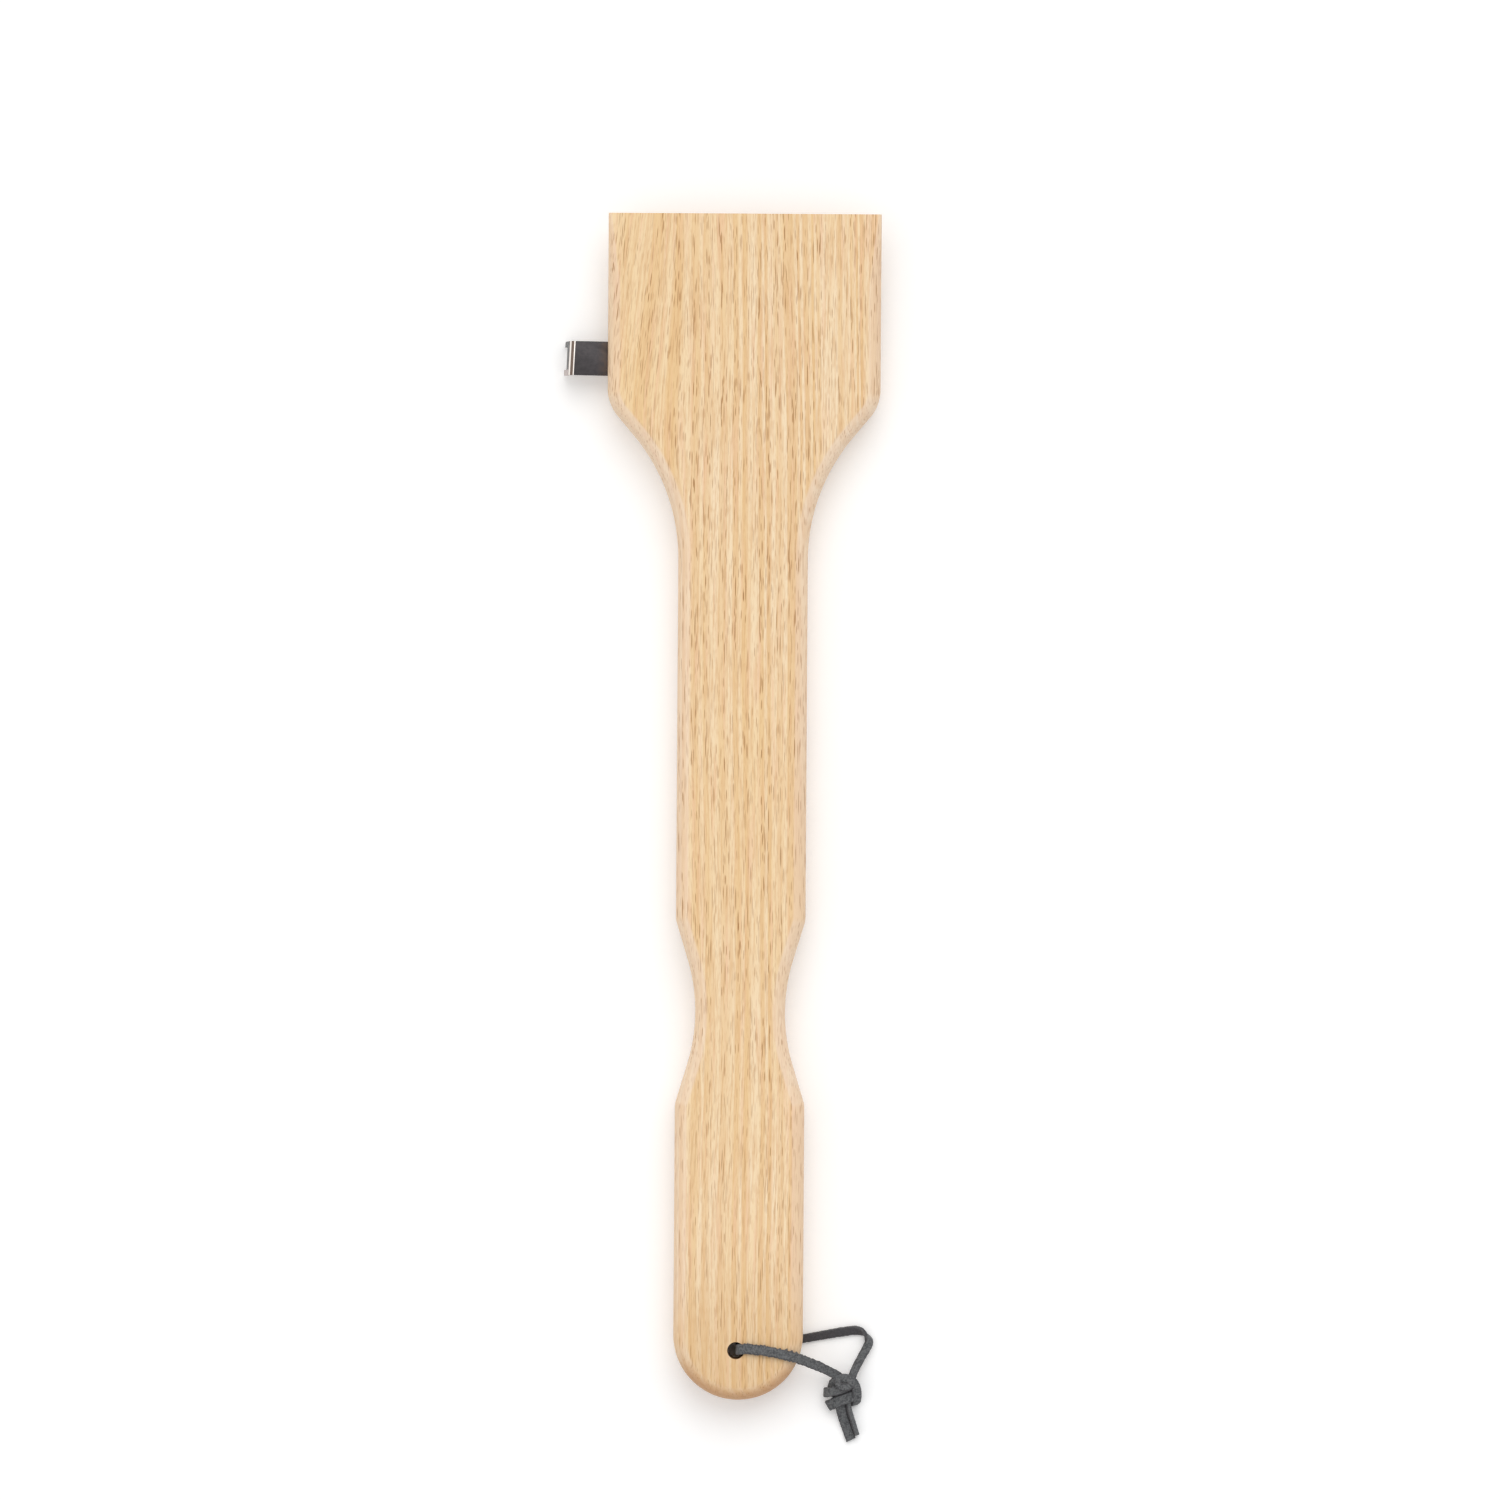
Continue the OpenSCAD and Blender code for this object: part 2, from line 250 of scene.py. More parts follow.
def grain_flow(tree, where):
    """Coordinates that run along the grain, and a mask of the head's left side, where it slants."""
    axes = place(tree, "ShaderNodeSeparateXYZ", {0: where}).outputs
    sway = calc(tree, "MULTIPLY", grain_noise(tree, where, (40, 230, 40), 3.1, detail=1), SWAY * MM)
    ripple = calc(tree, "MULTIPLY", grain_noise(tree, where, (9, 70, 9), 7.7, detail=2), RIPPLE * MM)
    left = calc(tree, "MULTIPLY", step(tree, axes[0], -8 * MM, -30 * MM), step(tree, axes[1], 0.09, 0.15))
    slant = calc(tree, "MULTIPLY", calc(tree, "SUBTRACT", axes[1], LEFT_LEAN_Y * MM), LEFT_LEAN)
    shift = calc(tree, "ADD", calc(tree, "ADD", sway, ripple), calc(tree, "MULTIPLY", left, slant))
    push = place(tree, "ShaderNodeCombineXYZ", {0: shift}).outputs[0]
    return place(tree, "ShaderNodeVectorMath", {0: where, 1: push}, operation="ADD").outputs[0], left


def make_growth_rings():
    """Earlywood mask of the growth rings round the pith, and a tone for each ring."""
    group, given, result = new_group(
        "growth_rings",
        [("Vector", "vector")],
        [("Earlywood", "value"), ("Tone", "value")],
    )
    axes = place(group, "ShaderNodeSeparateXYZ", {0: given["Vector"]}).outputs
    pith = calc(group, "ADD", calc(group, "MULTIPLY", axes[1], PITH_LEAN), PITH_X * MM)
    across = calc(group, "SUBTRACT", axes[0], pith)
    down = calc(group, "SUBTRACT", axes[2], PITH_Z * MM)
    count = calc(group, "DIVIDE", length_of(group, across, down), RING_T * MM)
    inputs = {"W": count, "Scale": 0.37, "Detail": 1.0}
    uneven = place(group, "ShaderNodeTexNoise", inputs, noise_dimensions="1D").outputs[0]
    phase = calc(group, "ADD", count, calc(group, "MULTIPLY", uneven, RING_UNEVEN))
    part = calc(group, "FRACT", phase)
    number = calc(group, "FLOOR", phase)
    tone = place(group, "ShaderNodeTexWhiteNoise", {"W": number}, noise_dimensions="1D").outputs[0]
    rise = step(group, part, 0.0, 0.14)
    fall = step(group, part, 0.42, 0.78, 1.0, 0.0)
    group.links.new(calc(group, "MULTIPLY", rise, fall), result.inputs["Earlywood"])
    group.links.new(tone, result.inputs["Tone"])
    return group


def make_pores():
    """Short dark vessels along the grain: 1 in a vessel, 0 beside it, and fainter in the handle."""
    group, given, result = new_group(
        "wood_pores",
        [("Vector", "vector"), ("Earlywood", "value")],
        [("Pore", "value")],
    )
    total = None
    for cell_mm, offset, rim in VESSELS:
        where = stretched(group, given["Vector"], cell_mm, offset)
        inputs = {"Vector": where, "Scale": 1.0, "Exponent": 2.5}
        cells = place(group, "ShaderNodeTexVoronoi", inputs, distance="MINKOWSKI").outputs
        chance = place(group, "ShaderNodeSeparateColor", {0: cells["Color"]}).outputs[0]
        depth = step(group, chance, 0.0, 1.0)
        spots = calc(group, "MULTIPLY", step(group, cells["Distance"], rim, VESSEL_CORE), depth)
        total = spots if total is None else calc(group, "MAXIMUM", total, spots)
    crowd = grain_noise(group, given["Vector"], (1.8, 60, 1.8), 9.9, detail=1)
    lengthwise = place(group, "ShaderNodeSeparateXYZ", {0: given["Vector"]}).outputs[1]
    faint = step(group, lengthwise, -0.05, -0.15, 1.0, 0.75)
    common = calc(group, "MULTIPLY", calc(group, "MULTIPLY_ADD", given["Earlywood"], 0.4, 0.6), faint)
    often = calc(group, "MULTIPLY", step(group, crowd, 0.3, 0.55, 0.45, 1.0), common)
    group.links.new(calc(group, "MULTIPLY", total, often), result.inputs["Pore"])
    return group


def make_facing():
    """Which faces are rounded sides, and of those which run aslant or are cut across the grain.

    The end of the handle is burnished all round, so it counts as cut across.
    """
    group, given, result = new_group(
        "facing",
        [("Vector", "vector"), ("Normal", "vector")],
        [("Side", "value"), ("Slant", "value"), ("End", "value")],
    )
    axes = place(group, "ShaderNodeSeparateXYZ", {0: given["Normal"]}).outputs
    off_front = step(group, axes[2], 0.9995, 0.97)
    off_back = step(group, axes[2], -0.955, -0.85)
    side = calc(group, "MULTIPLY", off_front, off_back)
    flat = length_of(group, axes[0], axes[1])
    way = calc(group, "DIVIDE", calc(group, "ABSOLUTE", axes[1]), calc(group, "MAXIMUM", flat, 0.001))
    aslant = calc(group, "MULTIPLY", step(group, way, 0.05, 0.35), step(group, way, 0.97, 0.75))
    lengthwise = place(group, "ShaderNodeSeparateXYZ", {0: given["Vector"]}).outputs[1]
    handle_end = step(group, lengthwise, -0.196, -0.208)
    elsewhere = calc(group, "SUBTRACT", 1.0, handle_end)
    # Mask of the paler sides, partly sanded grain and partly painted sheen, weaker at the handle's end
    sanded_and_sheen = calc(group, "MULTIPLY", side, step(group, lengthwise, -0.17, -0.205, 1.0, 0.3))
    aslant = calc(group, "MULTIPLY", calc(group, "MULTIPLY", aslant, side), elsewhere)
    across = calc(group, "MAXIMUM", step(group, way, 0.6, 0.97), handle_end)
    tilt = step(group, flat, 0.08, 0.85)
    group.links.new(sanded_and_sheen, result.inputs["Side"])
    group.links.new(aslant, result.inputs["Slant"])
    group.links.new(calc(group, "MULTIPLY", across, tilt), result.inputs["End"])
    return group


def make_oak():
    """Planed oak: growth rings, fibres and open vessels, with sides paler from sanding and painted sheen,
    and a browner end.
    """
    material, tree, output, where = new_material("oak")
    normal = tree.nodes.new("ShaderNodeTexCoord").outputs["Normal"]
    flow, slanting = grain_flow(tree, where)
    rings = placed_group(tree, make_growth_rings(), {"Vector": flow})
    pore = placed_group(tree, make_pores(), {"Vector": flow, "Earlywood": rings["Earlywood"]})["Pore"]
    facing = placed_group(tree, make_facing(), {"Vector": where, "Normal": normal})

    cream = (0.96, 0.765, 0.52, 1)
    tan = (0.84, 0.565, 0.295, 1)
    honey = (0.90, 0.635, 0.32, 1)
    rosy = (0.89, 0.56, 0.355, 1)
    fibre_brown = (0.76, 0.46, 0.215, 1)
    fleck_brown = (0.70, 0.42, 0.20, 1)
    handled_brown = (0.63, 0.375, 0.15, 1)
    # Paler sides: partly their sanded grain, partly painted sheen
    side_pale_and_sheen = (0.93, 0.715, 0.56, 1)
    slant_pale = (0.90, 0.735, 0.58, 1)
    end_brown = (0.56, 0.30, 0.145, 1)
    vessel_brown = (0.40, 0.185, 0.065, 1)
    fibre = grain_noise(tree, flow, (0.6, 22, 0.6), 2.2, detail=2, roughness=0.6)
    fleck = grain_noise(tree, flow, (0.5, 3.5, 0.5), 14.6, detail=1)
    streak = grain_noise(tree, flow, (2.6, 90, 2.6), 6.1, detail=2)
    blush = grain_noise(tree, flow, (1.5, 40, 1.5), 11.3, detail=2)
    patch = grain_noise(tree, where, (30, 80, 30), 4.9, detail=1)

    band = calc(tree, "MULTIPLY", rings["Earlywood"], step(tree, rings["Tone"], -0.6, 0.8))
    body = mix(tree, band, cream, tan)
    body = mix(tree, step(tree, streak, 0.4, 0.7, 0.0, 0.35), body, honey)
    body = mix(tree, step(tree, patch, 0.4, 0.75, 0.0, 0.35), body, honey)
    body = mix(tree, calc(tree, "MULTIPLY", slanting, 0.35), body, honey)
    body = mix(tree, step(tree, blush, 0.5, 0.72, 0.0, 0.5), body, rosy)
    body = mix(tree, step(tree, fibre, 0.46, 0.64, 0.0, 0.5), body, fibre_brown)
    body = mix(tree, step(tree, fleck, 0.48, 0.68, 0.0, 0.3), body, fleck_brown)
    lengthwise = place(tree, "ShaderNodeSeparateXYZ", {0: where}).outputs[1]
    body = mix(tree, step(tree, lengthwise, -0.15, -0.21, 0.0, 0.4), body, handled_brown)

    # Painted sheen: the rounded sides are painted paler, partly for their sanded grain
    sanded_and_sheen = mix(tree, calc(tree, "MULTIPLY", facing["Side"], 0.42), body, side_pale_and_sheen)
    sanded_and_sheen = mix(tree, calc(tree, "MULTIPLY", facing["Slant"], 0.3), sanded_and_sheen, slant_pale)
    cut = mix(tree, calc(tree, "MULTIPLY", facing["End"], 0.8), sanded_and_sheen, end_brown)
    shown = calc(tree, "MULTIPLY", pore, step(tree, facing["Slant"], 0.0, 1.0, 0.95, 0.5))
    colour = mix(tree, shown, cut, vessel_brown)

    height = calc(tree, "SUBTRACT", calc(tree, "MULTIPLY", fibre, 0.25), pore)
    bump = bumped(tree, height, 0.3, 0.05)
    rough = step(tree, pore, 0.0, 1.0, 0.5, 0.75)
    finish_material(
        tree,
        output,
        {"Base Color": colour, "Roughness": rough, "Normal": bump, "Specular IOR Level": 0.35},
    )
    return material


# Steel


def make_strip_marks():
    """Where the bent strip takes painted highlights and painted reflections in the bend, on the flange and
    lower prong and of the oak beside it, or is turned to the edge.
    """
    group, given, result = new_group(
        "strip_marks",
        [("Blank", "vector")],
        [
            ("Bright", "value"), ("BendReflection", "value"), ("Flange", "value"),
            ("OakReflection", "value"), ("Edge", "value"), ("Prong", "value"),
        ],
    )
    axes = place(group, "ShaderNodeSeparateXYZ", {0: given["Blank"]}).outputs
    shifted = calc(group, "MULTIPLY_ADD", axes[1], math.tan(BEND_SKEW), axes[0])
    turn = calc(group, "DIVIDE", calc(group, "SUBTRACT", shifted, STRIP_OUT), BEND_L)
    # Painted highlights: two bright lines across the outer face of the bend
    first = calc(group, "MULTIPLY", step(group, turn, 0.02, 0.06), step(group, turn, 0.13, 0.18, 1.0, 0.0))
    second = calc(group, "MULTIPLY", step(group, turn, 0.5, 0.6), step(group, turn, 0.8, 0.95, 1.0, 0.0))
    outer = step(group, axes[2], 0.6 * STRIP_T, 0.9 * STRIP_T)
    bend_highlight = calc(group, "MULTIPLY", calc(group, "ADD", first, second), outer)
    group.links.new(bend_highlight, result.inputs["Bright"])
    # Painted reflection: the bend, from its start on, is painted brown
    group.links.new(step(group, turn, 0.0, 0.2), result.inputs["BendReflection"])
    # Painted reflection: the flange is painted paler grey
    flange = step(group, turn, 1.0, 1.2)
    group.links.new(flange, result.inputs["Flange"])
    # Painted reflection: the lower prong is painted pale
    lower = step(group, axes[1], -NOTCH_W / 2 + 0.3, -NOTCH_W / 2 - 0.3)
    group.links.new(calc(group, "MULTIPLY", lower, flange), result.inputs["Prong"])
    # Painted reflection of the oak: brown on the strip next to the wood
    group.links.new(step(group, axes[0], 4.5, 0.5), result.inputs["OakReflection"])
    side = calc(group, "ABSOLUTE", axes[1])
    group.links.new(step(group, side, STRIP_W / 2 - 0.5, STRIP_W / 2 - 0.2), result.inputs["Edge"])
    return group


def make_steel():
    """Dark rolled strip steel, with painted highlights in the bend, and painted reflections in the bend, on
    the flange, on the lower prong and of the oak beside it.
    """
    material, tree, output, where = new_material("strip_steel")
    blank = place(tree, "ShaderNodeAttribute", {}, attribute_name="blank").outputs["Vector"]
    marks = placed_group(tree, make_strip_marks(), {"Blank": blank})
    cloud = grain_noise(tree, where, (1.6, 1.6, 1.6), 1.3, detail=4, roughness=0.65)
    dark_scale = (0.051, 0.047, 0.049, 1)
    light_scale = (0.066, 0.060, 0.062, 1)
    # Painted reflection of the oak on the strip beside it
    oak_reflection_brown = (0.080, 0.055, 0.042, 1)
    edge_grey = (0.045, 0.045, 0.045, 1)
    # Painted reflection in the bend
    bend_reflection_brown = (0.17, 0.125, 0.10, 1)
    # Painted reflection on the flange
    flange_reflection_grey = (0.11, 0.11, 0.108, 1)
    # Painted reflection on the lower prong
    prong_reflection_pale = (0.50, 0.43, 0.41, 1)
    # Painted highlight in the bend
    painted_bend_highlight = (0.93, 0.87, 0.82, 1)
    colour = mix(tree, step(tree, cloud, 0.3, 0.7), dark_scale, light_scale)
    oak_reflected = calc(tree, "MULTIPLY", marks["OakReflection"], step(tree, cloud, 0.35, 0.6, 0.25, 0.8))
    colour = mix(tree, oak_reflected, colour, oak_reflection_brown)
    colour = mix(tree, calc(tree, "MULTIPLY", marks["Edge"], 0.5), colour, edge_grey)
    colour = mix(tree, marks["BendReflection"], colour, bend_reflection_brown)
    colour = mix(tree, marks["Flange"], colour, flange_reflection_grey)
    colour = mix(tree, marks["Prong"], colour, prong_reflection_pale)
    colour = mix(tree, marks["Bright"], colour, painted_bend_highlight)
    scratch = grain_noise(tree, where, (6, 0.12, 0.6), 5.5, detail=2)
    bump = bumped(tree, scratch, 0.1, 0.02)
    rough = step(tree, scratch, 0.3, 0.7, 0.42, 0.52)
    finish_material(
        tree,
        output,
        {"Base Color": colour, "Metallic": 0.9, "Roughness": rough, "Normal": bump},
    )
    return material


def make_zinc():
    """Plain zinc of the screws, dulled in patches."""
    material, tree, output, where = new_material("screw_zinc")
    cloud = grain_noise(tree, where, (0.8, 0.8, 0.8), 2.9, detail=3)
    dull_grey = (0.42, 0.41, 0.40, 1)
    plain_grey = (0.62, 0.61, 0.59, 1)
    colour = mix(tree, step(tree, cloud, 0.35, 0.7), dull_grey, plain_grey)
    rough = step(tree, cloud, 0.3, 0.7, 0.4, 0.25)
    finish_material(tree, output, {"Base Color": colour, "Metallic": 1.0, "Roughness": rough})
    return material


# Suede


def make_suede():
    """Grey suede: a short brushed nap, with a darker skin side, and painted shade along the cut edges and
    in the gaps of the knot.
    """
    material, tree, output, where = new_material("suede")
    dark = place(tree, "ShaderNodeAttribute", {}, attribute_name="dark").outputs["Fac"]
    nap = grain_noise(tree, where, (0.7, 0.7, 0.7), 0.7, detail=4, roughness=0.7)
    brushed = grain_noise(tree, where, (2.2, 2.2, 2.2), 3.3, detail=3)
    nap_root = (0.060, 0.062, 0.065, 1)
    nap_end = (0.168, 0.170, 0.174, 1)
    brushed_grey = (0.138, 0.145, 0.149, 1)
    # Dark of the skin side, and painted shade along cut edges, in the slit beside the right loose end and
    # inside the knot
    skin_and_painted_shade = (0.056, 0.051, 0.057, 1)
    colour = mix(tree, step(tree, nap, 0.36, 0.64), nap_root, nap_end)
    colour = mix(tree, step(tree, brushed, 0.42, 0.68, 0.0, 0.5), colour, brushed_grey)
    colour = mix(tree, dark, colour, skin_and_painted_shade)
    bump = bumped(tree, nap, 0.6, 0.16)
    finish_material(
        tree,
        output,
        {
            "Base Color": colour,
            "Roughness": 0.95,
            "Normal": bump,
            "Specular IOR Level": 0.15,
            "Sheen Weight": 0.2,
            "Sheen Roughness": 0.5,
        },
    )
    return material


# Meshes


def new_object(name, vertices_mm, faces, matrix=None):
    """An object whose mesh has these vertices, given in millimetres."""
    mesh = bpy.data.meshes.new(name)
    mesh.from_pydata([Vector(v) * MM for v in vertices_mm], [], faces)
    mesh.validate()
    if matrix is not None:
        mesh.transform(matrix)
    obj = bpy.data.objects.new(name, mesh)
    bpy.context.scene.collection.objects.link(obj)
    return obj


def shade_smooth(mesh, sharp_angle):
    """Smooth faces, with sharp edges where two faces meet at more than this angle."""
    shape = bmesh.new()
    shape.from_mesh(mesh)
    for face in shape.faces:
        face.smooth = True
    for edge in shape.edges:
        edge.smooth = edge.is_manifold and edge.calc_face_angle(0) < sharp_angle
    shape.to_mesh(mesh)
    shape.free()


def ease_edges(mesh, angle, width_mm):
    """Rounds off the edges where two faces meet at more than this angle."""
    shape = bmesh.new()
    shape.from_mesh(mesh)
    edges = [e for e in shape.edges if e.is_manifold and e.calc_face_angle(0) > angle]
    bmesh.ops.bevel(
        shape,
        geom=edges,
        offset=width_mm * MM,
        segments=2,
        profile=0.5,
        affect="EDGES",
        clamp_overlap=True,
    )
    shape.to_mesh(mesh)
    shape.free()


def cut_away(obj, cutters):
    """Takes the cutters out of the object's mesh, and deletes them."""
    for cutter in cutters:
        modifier = obj.modifiers.new("cut", "BOOLEAN")
        modifier.operation = "DIFFERENCE"
        modifier.solver = "EXACT"
        modifier.object = cutter
    graph = bpy.context.evaluated_depsgraph_get()
    mesh = bpy.data.meshes.new_from_object(obj.evaluated_get(graph))
    obj.modifiers.clear()
    obj.data = mesh
    for cutter in cutters:
        bpy.data.objects.remove(cutter)


def lathe(name, profile, steps, matrix):
    """A closed solid turned about +Z from a profile of (radius, height), from its foot to its top."""
    inner = profile[1:-1]
    vertices = [(0, 0, profile[0][1]), (0, 0, profile[-1][1])]
    for radius, height in inner:
        for i in range(steps):
            a = 2 * math.pi * i / steps
            vertices.append((radius * math.cos(a), radius * math.sin(a), height))
    faces = []
    top = 2 + (len(inner) - 1) * steps
    for i in range(steps):
        j = (i + 1) % steps
        faces.append((0, 2 + j, 2 + i))
        faces.append((1, top + i, top + j))
        for k in range(len(inner) - 1):
            a = 2 + k * steps
            faces.append((a + i, a + j, a + steps + j, a + steps + i))
    return new_object(name, vertices, faces, matrix)


def slab(name, low, high, matrix):
    """A box from its lowest to its highest corner."""
    vertices = [(x, y, z) for x in (low[0], high[0]) for y in (low[1], high[1]) for z in (low[2], high[2])]
    faces = [(0, 1, 3, 2), (4, 6, 7, 5), (0, 4, 5, 1), (2, 3, 7, 6), (0, 2, 6, 4), (1, 5, 7, 3)]
    return new_object(name, vertices, faces, matrix)


# Paddle


def arc(x, y, radius, start, end, steps, turn=1):
    """Points of an arc as (x, y, out x, out y); turn is -1 where its middle is outside the wood."""
    angles = [math.radians(start + (end - start) * i / steps) for i in range(steps + 1)]
    return [
        (x + radius * math.cos(a), y + radius * math.sin(a), turn * math.cos(a), turn * math.sin(a))
        for a in angles
    ]


def slope_angle(radius, length, shift):
    """Degrees that a pair of tangent arcs turns through to shift sideways with a slope between."""
    whole = math.acos((radius - shift) / math.hypot(radius, length))
    return math.degrees(whole - math.atan2(length, radius))


def half_outline():
    """Right half of the paddle's outline, from the end of the handle to the tip."""
    shoulder = slope_angle(SHOULDER_R + SWEEP_R, SLOPE_L, HEAD_HALF - HANDLE_R)
    neck = slope_angle(NECK_R + NECK_CORNER_R, NECK_SLOPE_L, HANDLE_R - NECK_HALF)
    turn = math.radians(shoulder)
    shoulder_y = PADDLE_L - HEAD_SIDE_L
    sweep_y = shoulder_y - (SHOULDER_R + SWEEP_R) * math.sin(turn) - SLOPE_L * math.cos(turn)
    turn = math.radians(neck)
    reach = (NECK_R + NECK_CORNER_R) * math.sin(turn) + NECK_SLOPE_L * math.cos(turn)
    corner_x = HANDLE_R - NECK_CORNER_R
    bevel_steps = 16
    side_y = [HEEL_Y + BEVEL_L * i / bevel_steps for i in range(bevel_steps + 1)]
    return (
        arc(0, HANDLE_R, HANDLE_R, -90, 0, 44)
        + arc(corner_x, NECK_Y - reach, NECK_CORNER_R, 0, neck, 8)
        + arc(NECK_HALF + NECK_R, NECK_Y, NECK_R, 180 + neck, 180 - neck, 36, -1)
        + arc(corner_x, NECK_Y + reach, NECK_CORNER_R, -neck, 0, 8)
        + arc(HANDLE_R + SWEEP_R, sweep_y, SWEEP_R, 180, 180 - shoulder, 40, -1)
        + arc(HEAD_HALF - SHOULDER_R, shoulder_y, SHOULDER_R, -shoulder, 0, 20)
        + [(HEAD_HALF, y, 1, 0) for y in side_y]
    )


def back_z(y):
    """Height of the board's back face, which rises along the bevel towards the tip."""
    return max(0, (y - HEEL_Y) * (BOARD_T - TIP_T) / BEVEL_L)


def edge_point(point, front, angle, margin=0):
    """A point of the outline moved in over the front or the back round-over."""
    x, y, out_x, out_y = point
    share = FRONT_SHARE if front else BACK_SHARE
    radius = min(EDGE_R, share * (BOARD_T - back_z(y)))
    inward = radius * (1 - math.cos(angle)) + margin
    x, y = x - out_x * inward, y - out_y * inward
    drop = radius * (1 - math.sin(angle))
    return (x, y, BOARD_T - drop if front else back_z(y) + drop)


def make_paddle():
    """Oak board lofted from loops round its edge, then drilled and slotted."""
    half = half_outline()
    count = len(half)
    ring = [(-x, y, -out_x, out_y) for x, y, out_x, out_y in reversed(half[1:])] + half
    steps = 10
    margin = 0.4
    angles = [math.pi / 2 * i / steps for i in range(steps + 1)]
    loops = [[edge_point(p, True, math.pi / 2, margin) for p in ring]]
    loops += [[edge_point(p, True, a) for p in ring] for a in reversed(angles)]
    loops += [[edge_point(p, False, a) for p in ring] for a in angles]
    loops += [[edge_point(p, False, math.pi / 2, margin) for p in ring]]
    n = len(ring)
    last = (len(loops) - 1) * n
    middle = count - 1
    faces = []
    for k in range(len(loops) - 1):
        for j in range(n - 1):
            a = k * n + j
            faces.append((a, a + n, a + n + 1, a + 1))
    for i in range(count - 1):
        low, high = (middle - i, middle + i), (middle - i - 1, middle + i + 1)
        rung = (low[0], low[1], high[1], high[0]) if i else (middle, high[1], high[0])
        faces.append(rung)
        faces.append(tuple(last + v for v in reversed(rung)))
    tip = [k * n for k in range(len(loops))] + [k * n + n - 1 for k in reversed(range(len(loops)))]
    faces.append(tuple(reversed(tip)))
    vertices = [p for loop in loops for p in loop]
    paddle = new_object("oak_paddle", vertices, faces)

    past = 1
    hole = [(0, -past), (HOLE_D / 2, -past), (HOLE_D / 2, BOARD_T + past), (0, BOARD_T + past)]
    strip_low = (-past, -STRIP_W / 2 - KERF_GAP, -KERF_GAP)
    strip_high = (TANG_L + KERF_GAP, STRIP_W / 2 + KERF_GAP, STRIP_T + KERF_GAP)
    cutters = [
        lathe("hole", hole, 64, Matrix.Translation((-HOLE_LEFT * MM, HOLE_Y * MM, 0))),
        slab("kerf", strip_low, strip_high, at_strip(STRIP_Z)),
    ]
    for i in range(2):
        where = at_strip(0) @ Matrix.Translation(((SCREW_IN + i * SCREW_PITCH) * MM, 0, 0))
        cutters.append(lathe("screw_hole", screw_hole_profile(past), 48, where))
    cut_away(paddle, cutters)
    ease_edges(paddle.data, math.radians(50), WOOD_EASE)
    shade_smooth(paddle.data, math.radians(12.5))
    paddle.data.transform(LYING)
    return paddle


def at_strip(z):
    """From the strip's own axes, at the edge of the head, to the wood's."""
    skew = Matrix.Rotation(-STRIP_SKEW, 4, "Z")
    return Matrix.Translation((-HEAD_HALF * MM, STRIP_Y * MM, z * MM)) @ skew


def screw_hole_profile(past):
    """A screw hole in the wood as (radius, height), from past the back face up to its blind end."""
    head_z = back_z(STRIP_Y + SCREW_HEAD_D / 2) + SCREW_SINK
    cone_h = (SCREW_HEAD_D - SCREW_D) / 2
    shank_r = SCREW_D / 2 + SCREW_GAP
    return [
        (0, -past),
        (SCREW_HEAD_D / 2 + HEAD_GAP, -past),
        (SCREW_HEAD_D / 2 + HEAD_GAP, head_z),
        (SCREW_HEAD_D / 2 + SCREW_GAP, head_z + SCREW_GAP),
        (shank_r, head_z + cone_h),
        (shank_r, head_z + SCREW_L),
        (0, head_z + SCREW_L),
    ]


# Side scraper

BEND_L = BEND_ANGLE * (BEND_R + STRIP_T / 2)
BEND_DROP = (BEND_R + STRIP_T) * (1 - math.cos(BEND_ANGLE))
FLANGE_L = (
    STRIP_Z + STRIP_T - BEND_DROP - PRONG_CLEAR - STRIP_T * math.cos(BEND_ANGLE)
) / math.sin(BEND_ANGLE)


def blank_outline():
    """The strip before it is bent, as (length out of the wood, width): notch and prongs last."""
    end = STRIP_OUT + BEND_L + FLANGE_L
    half = STRIP_W / 2
    steps = 6
    quarter = [math.pi / 2 * i / steps for i in range(steps + 1)]
    side = []
    for a in quarter:
        side.append((end - PRONG_R * (1 - math.sin(a)), half - PRONG_R * (1 - math.cos(a))))
    side.append((end, NOTCH_W / 2))
    for a in quarter:
        deep = end - NOTCH_DEPTH + NOTCH_CORNER_R * (1 - math.sin(a))
        side.append((deep, NOTCH_W / 2 - NOTCH_CORNER_R * (1 - math.cos(a))))
    return [(-TANG_L, half)] + side + [(s, -w) for s, w in reversed(side)] + [(-TANG_L, -half)]


def bent(s, w, t):
    """Where a point of the flat blank is once the strip is bent: t is its height in the steel."""
    start = STRIP_OUT - w * math.tan(BEND_SKEW)
    along = s - start
    if along <= 0:
        return (-s, w, t)
    turn = min(along / BEND_L, 1) * BEND_ANGLE
    radius = BEND_R + t
    rest = max(along - BEND_L, 0)
    return (
        -start - radius * math.sin(turn) - rest * math.cos(turn),
        w,
        -BEND_R + radius * math.cos(turn) - rest * math.sin(turn),
    )


